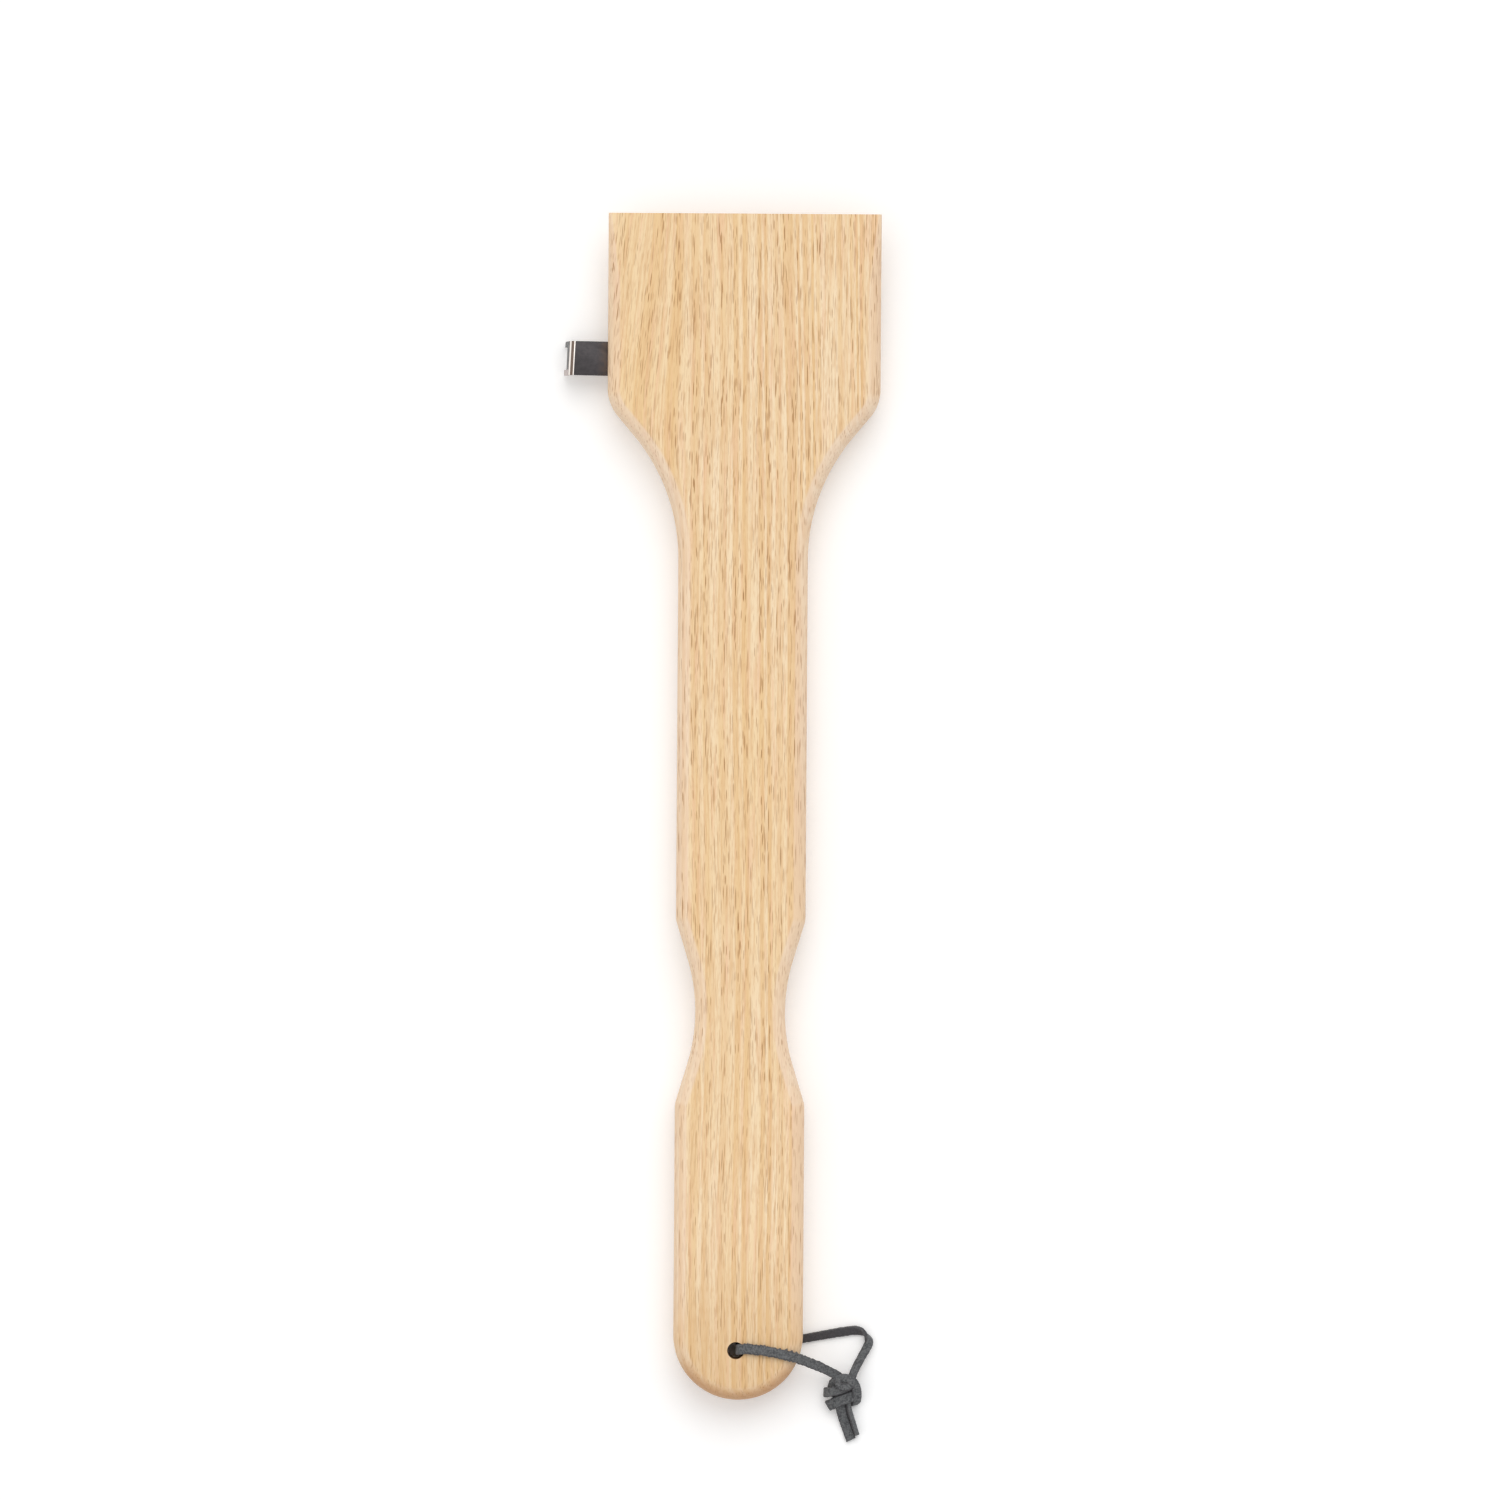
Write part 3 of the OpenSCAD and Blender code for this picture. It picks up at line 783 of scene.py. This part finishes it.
def make_side_scraper():
    """Steel strip: blanked flat with its notch and holes, its edges eased, then bent."""
    outline = blank_outline()
    shape = bmesh.new()
    shape.faces.new([shape.verts.new((s * MM, w * MM, 0)) for s, w in outline])
    square = (1, math.tan(BEND_SKEW), 0)
    bend_steps = 12
    for i in range(bend_steps + 1):
        at = (STRIP_OUT + BEND_L * i / bend_steps) * MM
        geometry = shape.verts[:] + shape.edges[:] + shape.faces[:]
        bmesh.ops.bisect_plane(shape, geom=geometry, plane_co=(at, 0, 0), plane_no=square, dist=1e-7)
    raised = bmesh.ops.extrude_face_region(shape, geom=shape.faces[:])["geom"]
    for part in raised:
        if isinstance(part, bmesh.types.BMVert):
            part.co.z += STRIP_T * MM
    bmesh.ops.recalc_face_normals(shape, faces=shape.faces[:])
    mesh = bpy.data.meshes.new("steel_side_scraper")
    shape.to_mesh(mesh)
    shape.free()
    strip = bpy.data.objects.new("steel_side_scraper", mesh)
    bpy.context.scene.collection.objects.link(strip)

    hole_r = SCREW_D / 2 + TANG_HOLE_GAP
    profile = [(0, -1), (hole_r, -1), (hole_r, STRIP_T + 1), (0, STRIP_T + 1)]
    holes = [
        lathe("tang_hole", profile, 32, Matrix.Translation((-(SCREW_IN + i * SCREW_PITCH) * MM, 0, 0)))
        for i in range(2)
    ]
    cut_away(strip, holes)
    mesh = strip.data
    ease_edges(mesh, math.radians(40), STRIP_EASE)
    blank = mesh.attributes.new("blank", "FLOAT_VECTOR", "POINT")
    for vertex, stored in zip(mesh.vertices, blank.data):
        stored.vector = vertex.co / MM
        vertex.co = Vector(bent(*stored.vector)) * MM
    shade_smooth(mesh, math.radians(40))
    mesh.transform(LYING @ at_strip(STRIP_Z))
    return strip


# Lace

# Route of the lace, from the knot over the front of the handle, down through the hole and back
# under the handle to the knot: x from the middle of the paddle, y from the end of the handle,
# z above the table, the angle from +X that its width points along, how far it is rolled about
# its own length, and the share of its width that it keeps where it is pulled narrow
LACE_ROUTE = [
    (38.3, 6.4, 3.4, 45, 0, 0.88), (36.9, 7.9, 4.4, 52, 0, 0.9), (35.2, 9.1, 5.8, 58, 4, 0.93),
    (32.6, 10.5, 8.4, 61, 8, 0.92), (29.6, 12.0, 11.6, 64, 8, 0.92), (26.8, 13.3, 15.0, 66, 6, 0.93),
    (24.2, 14.4, 18.0, 68, 6, 0.94), (21.5, 15.4, 20.3, 70, 4, 0.95), (18.5, 16.2, 21.5, 73, 3, 0.96),
    (15.0, 17.1, 21.7, 76, 3, 0.97), (11.0, 17.9, 21.7, 79, 3, 0.98), (7.0, 18.4, 21.7, 83, 3, 1),
    (4.2, 18.7, 21.7, 87, 0, 1), (2.3, 18.7, 21.6, 90, 0, 1), (0.9, 18.6, 21.0, 90, 0, 1),
    (0.2, 18.5, 19.9, 90, 0, 1), (0.0, 18.4, 18.5, 90, 0, 1), (0.0, 18.2, 11.0, 90, 0, 1),
    (0.0, 18.2, 3.8, 90, 0, 1), (0.2, 18.2, 2.3, 90, 0, 1), (0.8, 18.3, 1.3, 92, 0, 1),
    (2.1, 18.5, 0.8, 95, 0, 1), (5.4, 19.1, 0.8, 97, 0, 1), (11.0, 20.0, 0.8, 98, 0, 0.98),
    (17.0, 20.8, 0.8, 98, 0, 0.95), (23.5, 21.7, 0.9, 99, 6, 0.88), (29.0, 22.7, 1.0, 99, 14, 0.87),
    (35.0, 23.8, 1.1, 99, 16, 0.9), (40.5, 24.7, 1.2, 97, 18, 0.93), (43.6, 24.8, 1.4, 88, 34, 0.93),
    (45.8, 23.9, 1.7, 62, 70, 0.9), (47.1, 22.4, 2.0, 30, 112, 0.9), (47.6, 20.7, 2.2, -4, 150, 0.9),
    (46.8, 18.6, 2.4, -24, 172, 0.86), (44.8, 15.0, 3.0, -27, 180, 0.84), (42.9, 11.4, 3.7, -25, 180, 0.82),
    (41.7, 8.6, 4.4, -18, 180, 0.8), (41.1, 6.6, 4.6, -12, 180, 0.8),
]
TABLE_GAP = 0.05
LACE_SPACING = 0.25
BAND_SPACING = 0.3

# How ragged the lace's cut edges are, how much more above the wood, and the single burrs there
RAGGED = 0.1
RAGGED_ABOVE = 0.15
ABOVE_Z = 8
ABOVE_RISE = 5
BURR = 1.2
BURR_RARE = 0.12


def smooth_route(route, spacing):
    """Points at an even spacing along a smooth curve through the points of a route."""
    dense = []
    fine = 12
    for i in range(len(route) - 1):
        before = route[max(i - 1, 0)]
        start, end = route[i], route[i + 1]
        after = route[min(i + 2, len(route) - 1)]
        for j in range(fine):
            u = j / fine
            dense.append(tuple(
                0.5 * (2 * p1 + (p2 - p0) * u + (2 * p0 - 5 * p1 + 4 * p2 - p3) * u * u
                       + (3 * p1 - p0 - 3 * p2 + p3) * u ** 3)
                for p0, p1, p2, p3 in zip(before, start, end, after)
            ))
    dense.append(tuple(route[-1]))
    lengths = [0]
    for a, b in zip(dense, dense[1:]):
        lengths.append(lengths[-1] + (Vector(b[:3]) - Vector(a[:3])).length)
    count = max(2, round(lengths[-1] / spacing))
    even = []
    k = 0
    for i in range(count + 1):
        target = lengths[-1] * i / count
        while k < len(dense) - 2 and lengths[k + 1] < target:
            k += 1
        u = (target - lengths[k]) / max(lengths[k + 1] - lengths[k], 1e-9)
        even.append(tuple(a + (b - a) * u for a, b in zip(dense[k], dense[k + 1])))
    return even


def lace_section(width, thickness):
    """Corners of a flat lace's section, as (across, up), with its long faces divided."""
    corner, corner_steps, face_steps = 0.4, 3, 6
    points = []
    half_w, half_t = width / 2 - corner, thickness / 2 - corner
    for turn, (sx, sz) in enumerate(((1, 1), (-1, 1), (-1, -1), (1, -1))):
        for i in range(corner_steps + 1):
            a = math.pi / 2 * (turn + i / corner_steps)
            points.append((sx * half_w + corner * math.cos(a), sz * half_t + corner * math.sin(a)))
        if turn in (0, 2):
            for i in range(1, face_steps):
                points.append((sx * half_w * (1 - 2 * i / face_steps), sz * (half_t + corner)))
    return points


def lace_rings(route, thickness, seed, skin_side, slant=0.0, painted_edge_shade=0.45, skin_and_painted_shade=0.75):
    """Rings of a suede lace with rough cut edges: (centre, across, width) for each ring.

    Each point comes with how dark it is: most on the skin side, and painted shade along the cut edges.
    The ends are cut square, or at a slant.
    """
    rings = []
    for i, (centre, across, width) in enumerate(route):
        tangent = (route[min(i + 1, len(route) - 1)][0] - route[max(i - 1, 0)][0]).normalized()
        across = (across - across.dot(tangent) * tangent).normalized()
        up = tangent.cross(across)
        above = min(max((centre.z - ABOVE_Z) / ABOVE_RISE, 0), 1)
        ragged = RAGGED + RAGGED_ABOVE * above
        ring = []
        for x, z in lace_section(width, thickness):
            point = centre + (across - slant * tangent) * x + up * z
            edge = abs(x) / (width / 2)
            here = point + Vector((seed, 0, 0))
            fuzz = 0.9 * noise.noise(here * 0.9) + noise.noise(here * 1.9)
            lump = max(noise.noise(here * 1.1) - BURR_RARE, 0)
            burr = BURR * above * lump * max(x / (width / 2), 0) ** 2
            outward = (across * x / (width / 2) + up * z / (thickness / 2)).normalized()
            # Painted shade along the cut edges; elsewhere the skin side is darker, and on the right loose
            # end that dark is painted shadow
            dark = painted_edge_shade if edge > 0.8 else skin_and_painted_shade * (z * skin_side > 0)
            ring.append((point + outward * (burr + fuzz * ragged * (0.3 + 1.1 * edge ** 3)), dark))
        rings.append(ring)
    return rings


def tube(rings):
    """Vertices and faces of a closed tube through rings of points."""
    n = len(rings[0])
    vertices = [p for ring in rings for p in ring]
    faces = []
    for i in range(len(rings) - 1):
        for j in range(n):
            k = (j + 1) % n
            faces.append((i * n + j, i * n + k, (i + 1) * n + k, (i + 1) * n + j))
    faces.append(tuple(reversed(range(n))))
    faces.append(tuple((len(rings) - 1) * n + j for j in range(n)))
    return vertices, faces


def lace_object(name, parts):
    """A piece of lace made of tubes whose points carry how dark they are.

    What would reach below the table lies flat on it.
    """
    vertices, faces, darkness = [], [], []
    for rings in parts:
        start = len(vertices)
        points, quads = tube(rings)
        vertices.extend(Vector((p.x, p.y, max(p.z, TABLE_GAP))) for p, _ in points)
        darkness.extend(d for _, d in points)
        faces.extend(tuple(start + v for v in face) for face in quads)
    lace = new_object(name, vertices, faces, AT_HANDLE)
    dark = lace.data.attributes.new("dark", "FLOAT", "POINT")
    dark.data.foreach_set("value", darkness)
    shade_smooth(lace.data, math.radians(70))
    return lace


def flat_route(route):
    """Centres, ways across and widths along a route whose width lies flat but for its roll."""
    result = []
    even = smooth_route(route, LACE_SPACING)
    for i, (x, y, z, angle, roll, share) in enumerate(even):
        after, before = even[min(i + 1, len(even) - 1)], even[max(i - 1, 0)]
        tangent = (Vector(after[:3]) - Vector(before[:3])).normalized()
        flat = Vector((math.cos(math.radians(angle)), math.sin(math.radians(angle)), 0))
        across = (flat - flat.dot(tangent) * tangent).normalized()
        turned = Matrix.Rotation(math.radians(roll), 3, tangent) @ across
        result.append((Vector((x, y, z)), turned, LACE_W * share))
    return result


def make_lace():
    """The loop of the lace, from the knot through the hole and back."""
    return lace_object("suede_lace", [lace_rings(flat_route(LACE_ROUTE), LACE_T, 1.0, 1)])


# The knot: the point that its bands face away from, how far it reaches from there each way, and
# each band as its points (x, y, z) and width
KNOT_MIDDLE = Vector((38.3, 2.5, 0.5))
KNOT_REACH = Vector((6.6, 6.4, 3.6))
KNOT_BAND_T = 1.4
KNOT_BANDS = [
    # From its cut end at the lower left, up to the right and under the outer band
    (
        [(32.9, -2.5, 3.0), (34.3, -1.9, 4.1), (35.9, -1.1, 4.9), (38.0, -0.2, 5.4), (40.0, 0.5, 5.3),
         (41.8, 1.2, 4.6), (43.0, 1.8, 3.4)],
        4.0,
    ),
    # Outer band, from below at the right, over the top and down the left
    (
        [(42.4, -1.9, 1.6), (43.2, -0.6, 3.2), (43.3, 1.2, 4.7), (43.2, 3.2, 5.8), (42.6, 5.2, 6.4),
         (41.2, 6.8, 6.6), (39.2, 7.6, 6.4), (37.0, 7.4, 6.1), (35.2, 6.3, 5.7), (34.4, 4.8, 4.9),
         (34.2, 3.2, 3.4)],
        3.4,
    ),
    # From the middle to the left, folded round the left end and back below
    (
        [(41.6, 6.0, 5.4), (40.6, 5.3, 6.3), (39.2, 4.6, 7.0), (37.6, 3.8, 7.4), (35.6, 3.2, 7.0),
         (33.6, 2.7, 6.3), (32.2, 2.4, 5.0), (31.9, 2.4, 3.3), (33.0, 2.4, 1.8), (35.4, 2.4, 1.1)],
        3.5,
    ),
    # Short turn from the top down and up again to the right, over the last
    (
        [(37.4, 8.2, 4.2), (36.6, 7.3, 6.3), (36.4, 5.9, 7.7), (37.2, 4.8, 8.4), (38.8, 4.3, 8.4),
         (40.3, 4.7, 7.9), (41.3, 5.7, 6.9)],
        2.4,
    ),
    # Below, from the right to the left
    (
        [(35.0, 6.0, 2.1), (38.2, 7.0, 1.6), (41.6, 5.4, 1.8), (43.2, 2.4, 2.2), (41.8, -0.8, 1.8),
         (38.6, -1.8, 1.5), (35.4, -1.9, 1.7)],
        3.6,
    ),
]
LEFT_TAIL = [
    (37.2, -0.6, 3.6, 18, 0, 1), (37.4, -2.9, 3.2, 18, 0, 1), (38.0, -5.5, 2.1, 19, 0, 1),
    (38.9, -8.3, 1.2, 20, 0, 1), (40.0, -11.4, 0.85, 20, 0, 1), (41.3, -15.1, 0.8, 20, 0, 1),
]
RIGHT_TAIL = [
    (40.0, -0.8, 3.6, 18, 70, 1), (40.3, -3.2, 3.2, 18, 74, 1), (41.2, -6.2, 2.5, 19, 76, 1),
    (42.1, -8.9, 2.0, 20, 80, 1), (43.5, -13.3, 1.9, 20, 80, 1),
]
TAIL_SLANT = 0.1


def banded(route, width):
    """Centres, ways across and widths of a band that lies against the knot's middle."""
    centres = [Vector(p) for p in smooth_route(route, BAND_SPACING)]
    result = []
    for i, centre in enumerate(centres):
        tangent = centres[min(i + 1, len(centres) - 1)] - centres[max(i - 1, 0)]
        outward = Vector((c - m) / r ** 2 for c, m, r in zip(centre, KNOT_MIDDLE, KNOT_REACH))
        result.append((centre, outward.cross(tangent).normalized(), width))
    return result


def make_knot():
    """Bands of the overhand knot round a closed middle, and the two loose ends."""
    # Painted shade: the band edges are darkened to outline where the bands lie on each other
    parts = [
        lace_rings(banded(route, width), KNOT_BAND_T, 10.0 + k, -1, painted_edge_shade=0.65)
        for k, (route, width) in enumerate(KNOT_BANDS)
    ]
    left, right = flat_route(LEFT_TAIL), flat_route(RIGHT_TAIL)
    # Painted shade along the left loose end's edges
    parts.append(lace_rings(left, LACE_T, 30.0, -1, TAIL_SLANT, painted_edge_shade=0.6))
    # Painted shadow: the right loose end's skin side is fully dark as the slit between the two ends
    parts.append(lace_rings(right, LACE_T, 31.0, 1, TAIL_SLANT, painted_edge_shade=0.0, skin_and_painted_shade=1.0))
    parts.append(knot_middle())
    return lace_object("suede_knot", parts)


def knot_middle():
    """Closed lump inside the knot's bands, painted dark as shade, so that from above no light shows between
    them.
    """
    rows, columns = 12, 24
    # Painted shade: the lump is as dark as the shadow between the bands
    dark = 0.75
    reach = Vector((4.8, 4.6, 2.4))
    middle = KNOT_MIDDLE + Vector((0.3, 0.4, 3.0))
    rings = []
    for i in range(1, rows):
        a = math.pi * i / rows
        rings.append([
            (
                middle + Vector((
                    reach.x * math.sin(a) * math.cos(2 * math.pi * j / columns),
                    reach.y * math.sin(a) * math.sin(2 * math.pi * j / columns),
                    -reach.z * math.cos(a),
                )),
                dark,
            )
            for j in range(columns)
        ])
    return rings


# Scene

# The photograph's middle on the paddle's front face, its width there, and how far it is turned
VIEW_MIDDLE = (10.9, 20.7)
VIEW_W = 543.5
VIEW_TURN = math.radians(0.37)
CAMERA_DISTANCE = 4500
SENSOR_W = 36

# How far the floor reaches each way, and how far it is lifted towards white
FLOOR_REACH = 3000
FLOOR_LIFT = 0.12


def make_camera():
    """A distant camera that looks straight down on the front of the paddle."""
    data = bpy.data.cameras.new("camera")
    data.sensor_width = SENSOR_W
    data.lens = SENSOR_W * CAMERA_DISTANCE / VIEW_W
    data.clip_end = 100
    camera = bpy.data.objects.new("camera", data)
    camera.location = (VIEW_MIDDLE[0] * MM, VIEW_MIDDLE[1] * MM, (CAMERA_DISTANCE + BOARD_T) * MM)
    camera.rotation_euler = (0, 0, VIEW_TURN)
    bpy.context.scene.collection.objects.link(camera)
    bpy.context.scene.camera = camera


def make_lamp(name, from_place, spread, strength):
    """A distant soft lamp that shines from that place towards the middle of the object."""
    data = bpy.data.lights.new(name, "SUN")
    data.angle = math.radians(spread)
    data.energy = strength
    lamp = bpy.data.objects.new(name, data)
    lamp.location = from_place
    lamp.rotation_euler = (-Vector(from_place)).to_track_quat("-Z", "Y").to_euler()
    bpy.context.scene.collection.objects.link(lamp)


def seen_directly(tree):
    """1 for rays from the camera, off a gloss or through glass, and 0 for light on a surface."""
    path = tree.nodes.new("ShaderNodeLightPath").outputs
    either = calc(tree, "MAXIMUM", path["Is Camera Ray"], path["Is Glossy Ray"])
    return calc(tree, "MAXIMUM", either, path["Is Transmission Ray"])


def make_floor():
    """A white floor that keeps the object's shadow, with painted shade where the hole looks down on it:
    there it is not lifted towards white.
    """
    reach = FLOOR_REACH
    corners = [(-reach, -reach, 0), (reach, -reach, 0), (reach, reach, 0), (-reach, reach, 0)]
    floor = new_object("floor", corners, [(0, 1, 2, 3)])
    material = bpy.data.materials.new("white_floor")
    material.use_nodes = True
    tree = material.node_tree
    tree.nodes.clear()
    paper = place(tree, "ShaderNodeBsdfDiffuse", {"Color": (0.9, 0.9, 0.9, 1)})
    white = place(tree, "ShaderNodeBsdfDiffuse", {"Color": (1, 1, 1, 1)})
    where = tree.nodes.new("ShaderNodeTexCoord").outputs["Object"]
    hole = AT_HANDLE @ (Vector((-HOLE_LEFT, HOLE_Y, 0)) * MM)
    away = place(tree, "ShaderNodeVectorMath", {0: where, 1: hole}, operation="DISTANCE").outputs["Value"]
    # Painted shade under the hole: no lift towards white within a hole's width of it
    strength = step(tree, away, HOLE_D * MM, 1.5 * HOLE_D * MM, 0.0, FLOOR_LIFT)
    lift = place(tree, "ShaderNodeEmission", {"Color": (1, 1, 1, 1), "Strength": strength})
    both = place(tree, "ShaderNodeAddShader", {0: white.outputs[0], 1: lift.outputs[0]})
    chosen = place(
        tree,
        "ShaderNodeMixShader",
        {0: seen_directly(tree), 1: paper.outputs[0], 2: both.outputs[0]},
    )
    output = tree.nodes.new("ShaderNodeOutputMaterial")
    tree.links.new(chosen.outputs[0], output.inputs["Surface"])
    floor.data.materials.append(material)


def make_world():
    """Plain white light from all round, and a white background."""
    world = bpy.data.worlds.new("studio")
    bpy.context.scene.world = world
    world.use_nodes = True
    tree = world.node_tree
    tree.nodes.clear()
    strength = step(tree, seen_directly(tree), 0.0, 1.0, 0.65, 1.0)
    light = place(tree, "ShaderNodeBackground", {"Color": (1, 1, 1, 1), "Strength": strength})
    output = tree.nodes.new("ShaderNodeOutputWorld")
    tree.links.new(light.outputs[0], output.inputs["Surface"])


def dress(obj, material, slot_name, *nodes):
    """Gives a piece its material and its body, and lets it stand for its CAD nodes."""
    obj.data.materials.clear()
    obj.data.materials.append(material)
    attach(obj, "root")
    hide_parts(*nodes)


make_camera()

suede = make_suede()
lace = make_lace()
knot = make_knot()
dress(lace, suede, "suede", "lace")
dress(knot, suede, "suede", "lace_knot")

paddle = make_paddle()
dress(paddle, make_oak(), "oak", "paddle")

strip = make_side_scraper()
dress(strip, make_steel(), "steel", "side_scraper")

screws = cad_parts["scraper_screws"]
screws.data.materials.clear()
screws.data.materials.append(make_zinc())

make_floor()
make_world()
make_lamp("key", (0.18, 1.0, 1.3), 50, 0.97)
make_lamp("fill", (-0.9, 0.1, 1.3), 60, 0.28)

bpy.context.scene.view_settings.view_transform = "Standard"
